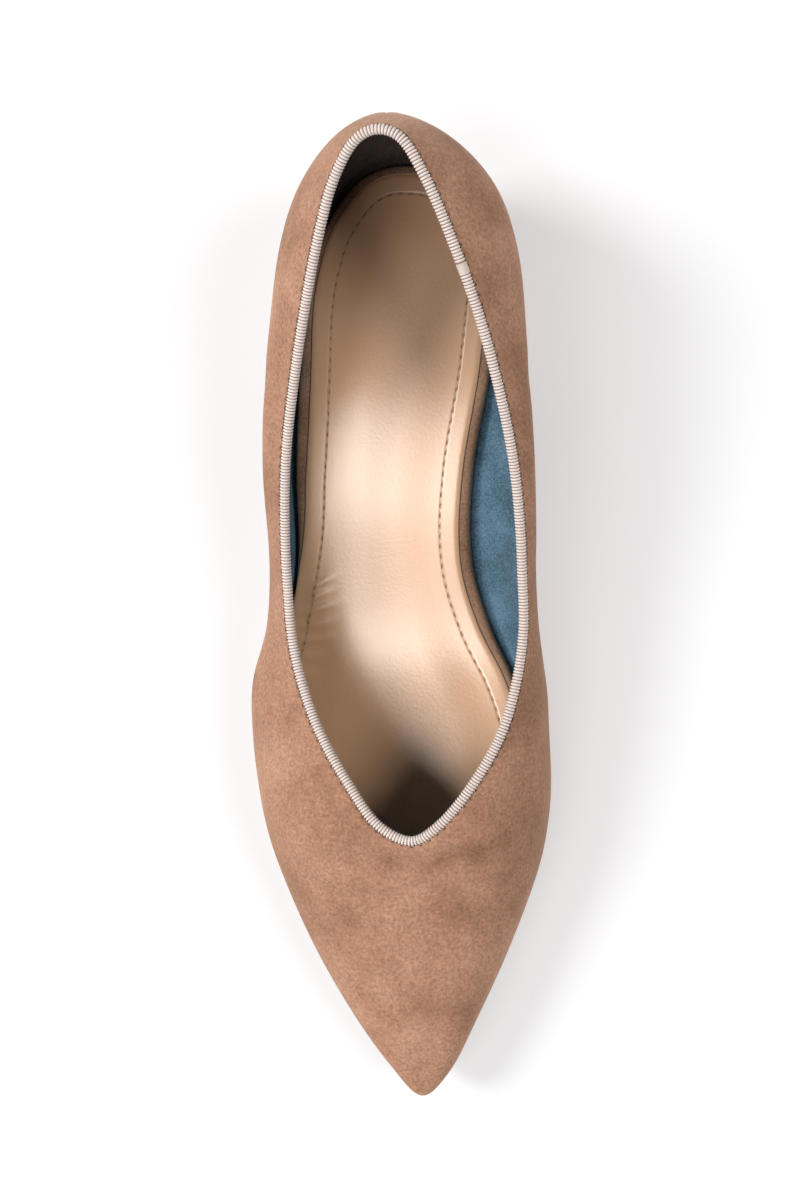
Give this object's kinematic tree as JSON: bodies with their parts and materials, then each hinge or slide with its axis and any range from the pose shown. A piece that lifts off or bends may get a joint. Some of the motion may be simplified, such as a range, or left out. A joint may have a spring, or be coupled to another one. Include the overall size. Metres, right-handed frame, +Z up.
{
  "type": "pointed court shoe",
  "caption": "Pointed slip-on court shoe with a suede upper, ribbed piping round a low open collar, a padded insole, a thin sole and a low block heel, for the right foot.",
  "frame": {"origin": "bottom centre of the shoe's bounding box, on the floor that it stands on", "axes": "+Z up, the toe points to -Y, the inner (medial) side of the foot is at +X"},
  "size_m": [0.084, 0.261, 0.0813],
  "materials": {
    "suede_upper": "napped",
    "ribbed_tape": "ribbed matte",
    "leatherette_sock": "satin",
    "brown_sole_rubber": "satin",
    "suede_heel_cover": "napped",
    "brown_top_piece": "satin"
  },
  "bodies": {
    "root": {"upper": "suede_upper", "topline_piping": "ribbed_tape", "insole": "leatherette_sock", "outsole": "brown_sole_rubber", "heel_block": "suede_heel_cover", "top_piece": "brown_top_piece"}
  },
  "joints": []
}
